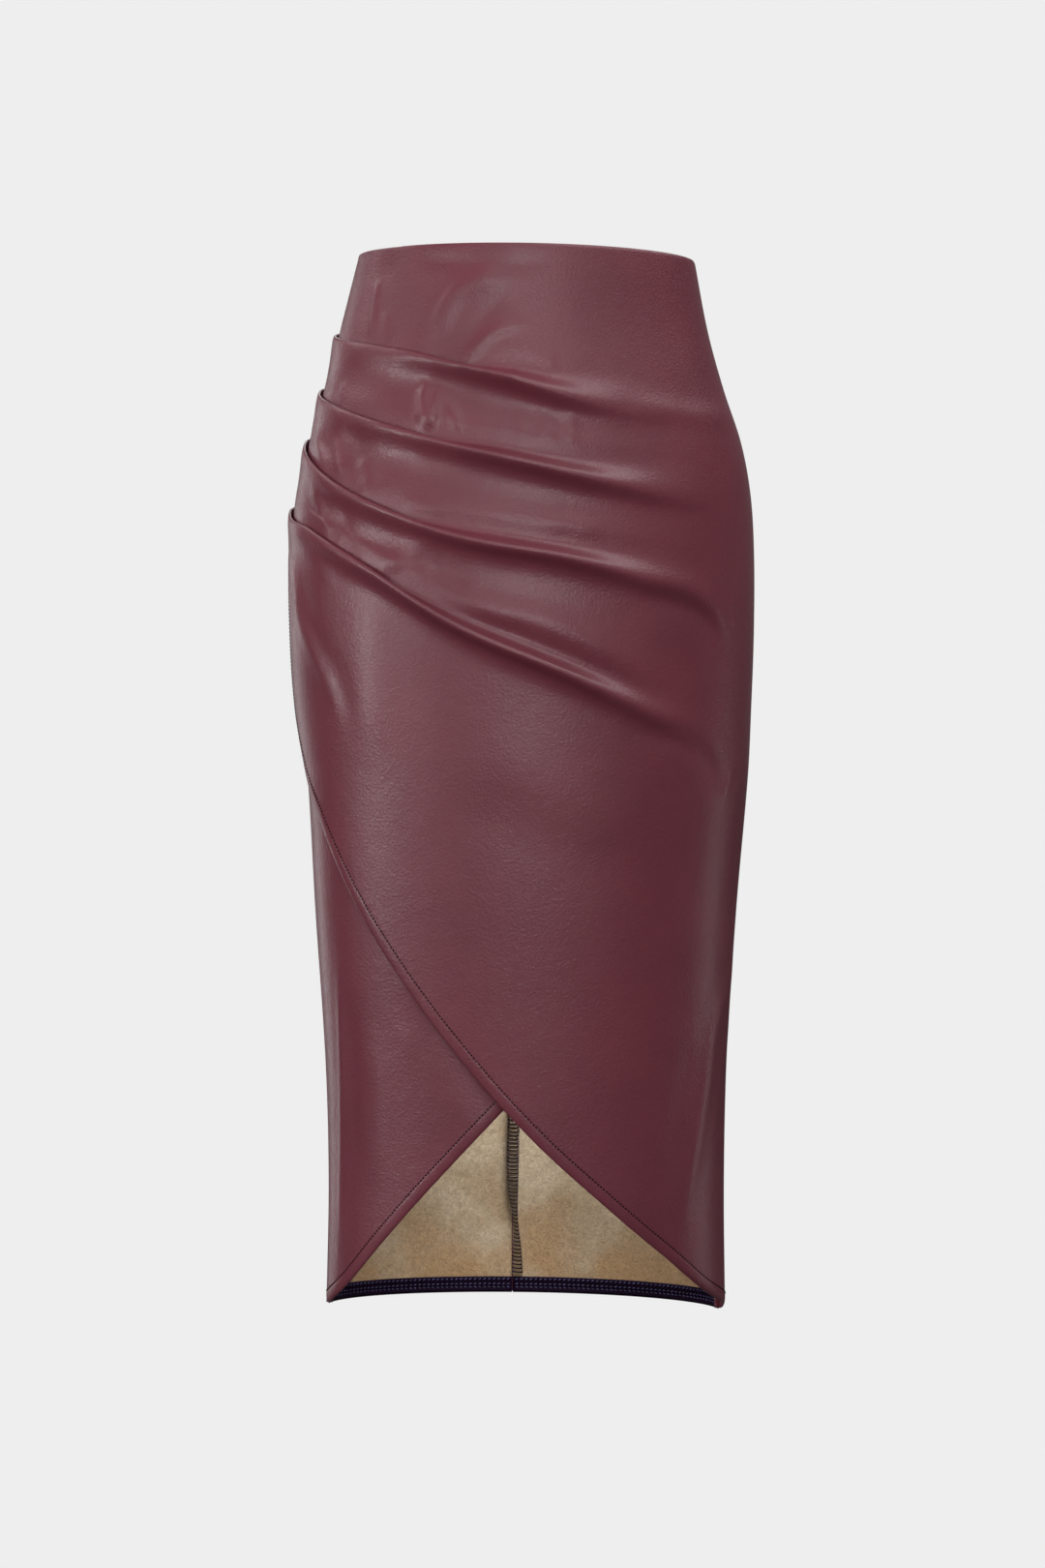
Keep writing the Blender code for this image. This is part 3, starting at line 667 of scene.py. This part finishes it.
def fan(hem, count):
    """A curved front's columns, closer towards its right. For each: its degrees round at the waist,
    then the upper end of its hem zone and its foot, both as degrees round and a drop."""
    share = np.linspace(0, 1, count + 1)
    share = share - FAN_SHIFT * np.sin(2 * np.pi * share)
    fine = np.linspace(hem[0, 0], hem[-1, 0], 1200)
    drops = smooth_curve(hem[:, 0], hem[:, 1], fine) * MM
    run = np.concatenate([[0], np.cumsum(
        np.linalg.norm(np.diff(figure_point(fine, drops), axis=0), axis=-1)
    )])
    feet = np.interp(share * run[-1], run, fine)
    foot_drops = smooth_curve(hem[:, 0], hem[:, 1], feet) * MM
    before, after = (
        smooth_curve(hem[:, 0], hem[:, 1], feet + step) * MM for step in (-HEM_STEP, HEM_STEP)
    )
    across = np.linalg.norm(
        figure_point(feet + HEM_STEP, foot_drops) - figure_point(feet - HEM_STEP, foot_drops), axis=-1
    )
    scale = HEM_ZONE / np.hypot(across, after - before)
    aside = (after - before) * scale / (across / (2 * HEM_STEP))
    zone = np.stack([feet + aside, foot_drops - across * scale], -1)
    for end in (0, -1):
        zone[end] = feet[end], foot_drops[end] - HEM_ZONE
    return mix(RIGHT_SEAM, LEFT_SEAM, share), zone, np.stack([feet, foot_drops], -1)


def leaning(top, zone, drop):
    """A fan column's place round the figure, which leans from the waist to the hem zone."""
    return mix(top, zone[..., 0], ease(-0.3 * zone[..., 1], zone[..., 1], drop))


def with_hem(around, drop, extra, zone, feet):
    """A front's places round, drops and extra insets, with its curved hem's rows added below."""
    share = HEM_ROWS[:, 0] / HEM_ZONE
    place = feet[:, None] + (zone - feet)[:, None] * share[None, :, None]
    hem = place[..., 0], place[..., 1], np.broadcast_to(HEM_ROWS[:, 1], place.shape[:2])
    return [np.concatenate(pair, axis=1) for pair in zip((around, drop, extra), hem)]


def underlap_inset(around, drop):
    """The underlap hangs a little away from the overlap, between the seams and below the waist."""
    share = np.clip((around - RIGHT_SEAM) / (LEFT_SEAM - RIGHT_SEAM), 0, 1)
    lower = ease(20 * MM, 110 * MM, drop) * (1 - 0.6 * ease(560 * MM, 700 * MM, drop))
    return UNDERLAP_IN + 2.5 * MM * np.sin(np.pi * share) ** 0.5 * lower


UNDERLAP_CREASES = (
    (0.9, 4.5, 2.6, ((26.8, 461), (23.6, 541), (21.4, 620), (20.1, 707))),
    (-0.9, 8, 9, ((31.8, 500), (31.1, 566), (30.4, 639))),
    (0.7, 9, 12, ((43.2, 526), (43.8, 585), (42.1, 644))),
    (-2.6, 13, 15, ((58, 486), (69, 534), (81.2, 579), (88.5, 608))),
    (0.5, 5, 5, ((51.8, 524), (54.8, 538), (56.5, 554))),
)

# The topstitch thread is near-black, darker than the burgundy cloth: its dark is painted shade, standing in
# for the shadowed needle holes along the hem.
stitch_thread_painted_hole_shade = thread_finish("stitch_thread_painted_hole_shade", (0.006, 0.0012, 0.0022), 0.8)
tops, zone, feet = fan(UNDERLAP_HEM, 130)
share = np.concatenate([(0, 0.0006, 0.0018, 0.004), np.linspace(0.01, 1, 100)])
waist = level_drop(0, tops)
drop = waist[:, None] + (zone[:, 1] - waist)[:, None] * share
around = leaning(tops[:, None], zone[:, None], drop)
extra = rolled_in(WAIST_ROLL, drop - waist[:, None])
around, drop, extra = with_hem(around, drop, extra, zone, feet)
near_seam = seam_distance(around, RIGHT_SEAM, LEFT_SEAM)
lift = crease_relief(around, drop, UNDERLAP_CREASES) * ease(0, 12 * MM, near_seam)
inset = underlap_inset(around, drop) + extra + rolled_in(SEAM_ROLL, near_seam)
points = cloth_point(around, drop, inset - lift)
underlap = cloth_sheet("underlap_panel", points, CLOTH, coating, suede)
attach(underlap, "skirt")
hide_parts("front_underlap", "underlap_hem")


def topstitched(name, around, drop, points):
    """A row of topstitches in the dip of a curved hem."""
    row = len(HEM_ROWS) - STITCH_ROW
    line, facing = points[:, -row], outward(around[:, -row], drop[:, -row])
    line = line + facing * (CLOTH / 2)
    stitches = stitch_paths(line, facing, pitch=2.6 * MM, length=1.3 * MM, stand=0.0)
    run = lay_threads(name, stitches, 1.0 * MM, stitch_thread_painted_hole_shade)
    return run


underlap_stitches = topstitched("underlap_topstitch", around, drop, points)

# Overlap ---------------------------------------------------------------------------------------
# The draped top layer of the front, one panel. Four pleats sewn into the right side seam fan out
# over it and fade before the left side; the hem curves to the left hem corner, turned in 8 mm.

OVERLAP_IN = 0.5 * MM
OVERLAP_HEM = np.array((
    (-6, 208), (-3, 252), (0, 292), (4, 328), (10, 356), (21, 386), (43, 458), (67, 534),
    (90, 598), (112, 645), (130, 677), (153, 708), (186, 726.5),
))
# The drop of each pleat's crest at places round the figure.
CREST_PLACES = (-6, 12, 27, 50, 75, 100, 122, 150)
CRESTS = (
    (50.5, 57, 62, 70, 85, 100, 107, 112), (88, 98, 106, 121, 139, 154, 162, 168),
    (122, 136, 150, 174, 198, 211, 223, 240), (169, 182, 190, 217, 258, 288, 311, 338),
)
# Each pleat, in degrees round the figure: where its tuck begins to open and is open, its ridge's
# height as a share, and where it begins to fade and is gone.
PLEATS = (
    (44, 90, 1.16, 94, 140), (30, 88, 1.0, 102, 154),
    (24, 84, 1.02, 104, 158), (24, 80, 1.08, 104, 156),
)
# The cloth through a pleat as a folded tuck, half undone, as an open ridge and as a broad swell:
# how far up from the crest and how far out each point of its middle line lies.
PROFILE = np.array((
    (9, 0, 11, 0, 18, 0, 24, 0),
    (-5, -0.5, 2, 0, 12, -0.7, 18, 0.1),
    (-8.6, -0.4, -2.2, -0.1, 8.2, -0.9, 13, 0.7),
    (-9.7, 0.3, -4.2, 0.3, 5.2, 0.1, 9, 1.5),
    (-8.8, 1.1, -3.6, 1.4, 3, 2.9, 5, 2.5),
    (-4, 1.4, -1.4, 2.2, 1.5, 6.1, 1, 3.4),
    (-0.4, 1.8, 0.1, 3.3, 0.3, 8.6, -3, 3.9),
    (0.7, 2.6, 0.5, 4.6, -1.3, 9.4, -6.5, 3.7),
    (-0.5, 3.3, -0.9, 5.6, -3.0, 8.6, -9, 2.9),
    (-4.5, 3.1, -3.4, 5.0, -5.0, 5.4, -11.5, 1.7),
    (-10, 2.3, -8, 1.7, -7.8, 0.6, -14, 0.5),
    (-16, 1.3, -15, -1.8, -12.6, -2.4, -18, -0.5),
    (-26, 0.3, -25, -1.7, -23, -2.3, -24, -0.5),
)) * MM
# The trough below a fold begins sooner than the fold opens, by this many degrees at each point.
SOONER = np.array((0, 0, 0, 0, 0, 0, 0, 0, 0, 9, 20, 26, 26))
# How far from a seam it still holds the cloth, and the share of a fold's height left at the seam.
SEAM_HOLD, PRESSED = 8 * MM, 0.4
OVERLAP_CREASES = (
    (1.2, 3.5, 3, ((32.2, 17), (33.6, 30), (35, 47), (36, 62))),
    (0.6, 3.5, 3.5, ((40.3, 40), (42.2, 54), (43.9, 67))),
    (-1.8, 18, 16, ((36.6, -13), (37.4, 11), (41.6, 36), (46.1, 62), (50.2, 86))),
    (-2, 12, 11, ((32, 110), (39.7, 131), (45.6, 151), (49.4, 169))),
    (-1.6, 9, 9, ((35.7, 166), (40.1, 183), (44.3, 201), (47.1, 216))),
    (0.8, 8, 8, ((63.2, 51), (62.4, 78), (62.5, 110), (62.9, 137), (62.2, 162))),
    (2.8, 10, 8, ((88.3, 17), (80.7, 21), (74.6, 25), (68.3, 32), (64.4, 45), (62.8, 61), (62.5, 81))),
    (1.9, 3.4, 3.6, ((71.1, 90), (73.9, 75), (78.1, 64), (83.3, 57), (91.9, 53))),
    (-0.7, 6, 6, ((86, 36), (79.1, 45), (74.5, 58), (71.8, 72))),
    (-0.8, 5, 5, ((48.8, 8), (65.9, 12), (82.1, 15), (102.5, 12))),
    (0.8, 3.5, 3.5, ((95.5, 72), (96.2, 82), (96.8, 94))),
    (3.2, 6, 5, ((60.1, 91), (61.6, 109), (63.6, 129))),
    (2.3, 4, 3.5, ((65.1, 96), (65.1, 110), (64.1, 128))),
    (1.7, 4, 4, ((66.1, 97), (69.3, 112), (73.8, 130))),
    (0.9, 5, 4, ((92.4, 111), (94.1, 122), (97, 132))),
    (1, 5, 4, ((99.9, 114), (101.2, 124), (100.5, 137))),
    (0.7, 4, 4, ((88.5, 108), (88.8, 123), (89.3, 140))),
    (0.5, 3, 3, ((27.8, 87), (27.5, 96), (29.4, 107))),
    (1.2, 4, 3.5, ((14.5, 120), (23, 136), (30.8, 155))),
    (1.1, 4, 3.5, ((29.3, 126), (33.7, 140), (37.4, 155))),
    (-0.6, 6, 5, ((37.8, 135), (41.6, 150), (44.7, 167))),
    (1.3, 4.5, 4, ((42.1, 138), (45.5, 154), (47.5, 170))),
    (0.9, 4, 5, ((58.2, 172), (64.2, 177), (71.2, 181))),
    (0.9, 6, 7, ((91.5, 188), (100.5, 189), (109.8, 197))),
    (1.2, 4, 3.5, ((21.9, 157), (29.2, 175), (37.3, 197))),
    (-0.7, 3, 3, ((30.4, 172), (34.7, 186), (40.1, 201))),
    (0.7, 5, 5, ((42.1, 180), (44.8, 195), (47.7, 212))),
    (1.5, 9, 5, ((50.7, 221), (56.4, 215), (61.6, 209), (69.5, 198))),
    (-1.2, 8, 9, ((65.7, 217), (70.5, 222), (77.5, 229))),
    (2.3, 10, 9, ((61.9, 229), (72.8, 241), (84.2, 249), (93.4, 255), (102.4, 265), (113, 281),
        (127.8, 304))),
    (-1, 7, 7, ((72.8, 253), (84.2, 260), (101.5, 279), (118.5, 302), (139, 319))),
    (1.4, 9, 7, ((112.8, 221), (126.6, 229), (137.1, 237), (145.2, 251), (152.4, 272))),
    (-1.6, 7, 9, ((115.4, 234), (126, 236), (134.3, 242), (141.4, 254), (148.3, 276))),
    (-1.4, 8, 10, ((113.3, 324), (127.5, 328), (137.8, 336), (144.7, 351), (150.5, 370))),
    (1, 8, 8, ((115.4, 110), (131.2, 111), (147.6, 113), (177.2, 107))),
    (0.6, 4, 4, ((149.7, 233), (152.5, 244), (156.3, 260))),
    (0.6, 4, 4, ((155.6, 347), (154.4, 359), (150.9, 377))),
    (0.9, 7, 6, ((-3.8, 194), (13.8, 223), (17, 246), (23.5, 266), (31.2, 288), (36, 310), (36.8, 336))),
    (-0.8, 9, 7, ((16.7, 197), (21.5, 224), (26.3, 253), (32.2, 275), (37.6, 291), (40.3, 317), (39.7, 356))),
    (1, 8, 6, ((10, 182), (22.2, 199), (31.4, 216), (39.6, 229))),
    (1.1, 16, 18, ((50.1, 226), (49.2, 259), (48.9, 304), (46.9, 369))),
    (0.8, 26, 24, ((72, 337), (88.6, 356), (106, 381), (129.3, 405))),
    (-0.8, 26, 26, ((63.8, 369), (83.8, 388), (101.1, 408), (120.7, 440))),
    (1.5, 9, 8, ((183.5, 477), (158.7, 521), (152, 573), (144, 628), (136.7, 690))),
    (-0.6, 7, 7, ((177.7, 530), (170.2, 576), (161.4, 614))),
    (-0.8, 12, 10, ((143.4, 526), (139.3, 579), (133.2, 630))),
)


def soft_line(points, steps):
    """Rows on a soft curve led by each column's points (a uniform cubic B-spline)."""
    led = np.concatenate([points[:, :1], points[:, :1], points, points[:, -1:], points[:, -1:]], 1)
    t = (np.arange(steps) / steps)[None, None, :, None]
    a, b, c, d = (led[:, k:led.shape[1] - 3 + k, None] for k in range(4))
    rows = (
        a * (1 - t) ** 3 + b * (3 * t**3 - 6 * t**2 + 4)
        + c * (-3 * t**3 + 3 * t**2 + 3 * t + 1) + d * t**3
    ) / 6
    return np.concatenate([rows.reshape(len(points), -1, points.shape[-1]), points[:, -1:]], 1)


tops, zone, feet = fan(OVERLAP_HEM, 190)
waist = level_drop(0, tops)
drops, outs = [], []
for crest_drops, (tuck_until, open_from, ridge, fades_from, gone_by) in zip(CRESTS, PLEATS):
    crest = np.full(tops.shape, crest_drops[0] * MM)
    for _ in range(16):
        crest = smooth_curve(CREST_PLACES, crest_drops, leaning(tops, zone, crest)) * MM
    place = leaning(tops, zone, crest)
    opened = 2 * ease(tuck_until - SOONER, open_from, place[:, None])
    opened = opened + ease(fades_from - 14, gone_by - 20, place[:, None])
    height = mix(1, ridge, np.minimum(opened / 2, 1)) * (1 - ease(fades_from, gone_by, place[:, None]))
    stage = np.minimum(opened.astype(int), 2)
    part, point = opened - stage, np.arange(len(PROFILE))
    ups, reach = PROFILE[:, 0::2].T, PROFILE[:, 1::2].T
    led_drop = crest[:, None] - mix(ups[stage, point], ups[stage + 1, point], part)
    led_out = mix(reach[stage, point], reach[stage + 1, point], part) * height
    if not drops:
        share = np.concatenate([(0, 0.01, 0.03, 0.06), np.linspace(0.11, 0.93, 12)])
        drops.append(waist[:, None] + (led_drop[:, :1] - waist[:, None]) * share)
        outs.append(np.zeros_like(drops[-1]))
    else:
        share = np.array((1, 2, 3)) / 4
        drops.append(drops[-1][:, -1:] + (led_drop[:, :1] - drops[-1][:, -1:]) * share)
        outs.append(outs[-1][:, -1:] + (led_out[:, :1] - outs[-1][:, -1:]) * share)
    drops.append(led_drop)
    outs.append(led_out)
share = np.linspace(0, 1, 33)[1:] ** 1.15
drops.append(drops[-1][:, -1:] + (zone[:, 1:] - drops[-1][:, -1:]) * share)
outs.append(outs[-1][:, -1:] * (1 - share))
led = np.stack([np.concatenate(drops, 1), np.concatenate(outs, 1)], -1)
rows = soft_line(led, 2)
drop, out = rows[..., 0], rows[..., 1]
around = leaning(tops[:, None], zone[:, None], drop)
# The seams press the folds together where they hold them.
near_seam = seam_distance(around, RIGHT_SEAM, LEFT_SEAM)
out = out * mix(PRESSED, 1, ease(0, SEAM_HOLD, near_seam))
extra = rolled_in(WAIST_ROLL, drop - waist[:, None]) - out
around, drop, extra = with_hem(around, drop, extra, zone, feet)
near_seam = seam_distance(around, RIGHT_SEAM, LEFT_SEAM)
lift = crease_relief(around, drop, OVERLAP_CREASES) * ease(0, SEAM_HOLD, near_seam)
points = cloth_point(around, drop, OVERLAP_IN + extra + rolled_in(SEAM_ROLL, near_seam) - lift)
overlap = cloth_sheet("overlap_panel", points, CLOTH, coating, suede)
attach(overlap, "skirt")
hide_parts("front_overlap", "overlap_hem")
overlap_stitches = topstitched("overlap_topstitch", around, drop, points)

# Studio ----------------------------------------------------------------------------------------
# A pale floor below the hanging skirt, a pale ground behind it, and soft boxes round it: narrow
# ones at its sides, broad ones in front, above and behind, and a small lamp inside for the back.

scene = bpy.context.scene
scene.view_settings.view_transform = "Standard"
PALE = (0.855, 0.855, 0.855, 1)

bpy.ops.mesh.primitive_plane_add(size=60, location=(0, 0, -1.03))
floor = bpy.context.object
floor.name = "floor"
ground, tree, shader = new_finish("pale_floor")
tree.nodes.remove(shader)
end = tree.nodes["Material Output"]
seen = add_node(tree, "ShaderNodeLightPath")
glow = add_node(tree, "ShaderNodeEmission", {"Color": PALE, "Strength": 1.0})
matt = add_node(tree, "ShaderNodeBsdfDiffuse", {"Color": (0.10, 0.10, 0.10, 1)})
both = add_node(
    tree, "ShaderNodeMixShader",
    {0: seen.outputs["Is Camera Ray"], 1: matt.outputs["BSDF"], 2: glow.outputs["Emission"]},
)
tree.links.new(both.outputs["Shader"], end.inputs["Surface"])
floor.data.materials.append(ground)

world = bpy.data.worlds.new("studio")
scene.world = world
world.use_nodes = True
tree = world.node_tree
tree.nodes.clear()
seen = add_node(tree, "ShaderNodeLightPath")
way = add_node(
    tree, "ShaderNodeVectorMath",
    {0: add_node(tree, "ShaderNodeTexCoord").outputs["Generated"], 1: (0.05, -0.91, 0.41)},
    operation="DOT_PRODUCT",
)
turned = add_node(tree, "ShaderNodeMapRange", {"Value": way.outputs["Value"], "From Min": -1.0})
level = add_node(tree, "ShaderNodeValToRGB", {"Fac": turned.outputs["Result"]})
level.color_ramp.elements[0].color = (0.26, 0.26, 0.26, 1)
level.color_ramp.elements[1].color = (0.54, 0.54, 0.54, 1)
for place, pale in ((0.16, 0.17), (0.34, 0.08), (0.56, 0.06), (0.78, 0.28)):
    level.color_ramp.elements.new(place).color = (pale, pale, pale, 1)
shade = add_node(
    tree, "ShaderNodeMix",
    {0: seen.outputs["Is Camera Ray"], 2: level.outputs["Color"], 3: 0.855}, data_type="FLOAT",
)
back = add_node(tree, "ShaderNodeBackground", {"Color": (1, 1, 1, 1), "Strength": shade.outputs[0]})
end = add_node(tree, "ShaderNodeOutputWorld", {"Surface": back.outputs["Background"]})

# Each lamp: how far round it stands towards the skirt's right and how high, in degrees, how far
# off, its width and height in metres, its power, and what it faces.
middle = Vector((0, 0, -0.36))
for name, rightward, high, far, width, tall, power, aim in (
    ("key_strip", 63, 5, 2.2, 0.30, 0.70, 15, middle),
    ("key_box", 42, 9, 2.2, 0.70, 0.90, 7, middle),
    ("front_box", 0, 12, 2.2, 1.00, 0.90, 15.5, middle),
    ("high_box", 0, 50, 2.2, 1.50, 0.80, 5, middle),
    ("side_box", 102, 42, 2.2, 1.10, 1.00, 12, middle),
    ("rim_strip", 137, 0, 2.2, 0.30, 1.90, 8, middle),
    ("left_box", -52, 58, 2.2, 1.60, 1.20, 19, middle),
    ("left_high_box", -108, 52, 2.2, 1.20, 1.00, 12, middle),
    ("left_low_box", -96, -28, 2.2, 0.90, 0.90, 8, middle),
    ("left_strip", -101, -14, 2.2, 0.12, 0.90, 3.2, middle),
    ("back_box", 180, 42, 2.4, 1.60, 1.20, 16, middle),
    ("inner_lamp", -23, 75, 0.517, 0.14, 0.05, 0.40, Vector((0.0, 0.10, -0.78))),
):
    box = bpy.data.lights.new(name, "AREA")
    box.shape, box.size, box.size_y, box.energy = "RECTANGLE", width, tall, power
    box.spread = math.radians(60 if name == "inner_lamp" else 180)
    lamp = bpy.data.objects.new(name, box)
    scene.collection.objects.link(lamp)
    turn, rise = math.radians(rightward), math.radians(high)
    lamp.location = aim + far * Vector((
        -math.sin(turn) * math.cos(rise), -math.cos(turn) * math.cos(rise), math.sin(rise)
    ))
    lamp.rotation_euler = (aim - lamp.location).to_track_quat("-Z", "Y").to_euler()

lens = bpy.data.cameras.new("camera")
camera = bpy.data.objects.new("camera", lens)
scene.collection.objects.link(camera)
camera.location = (-0.0037, -2.70, -0.3625)
camera.rotation_euler = (math.pi / 2, 0, 0)
lens.lens, lens.sensor_width = 89.56, 36
scene.camera = camera
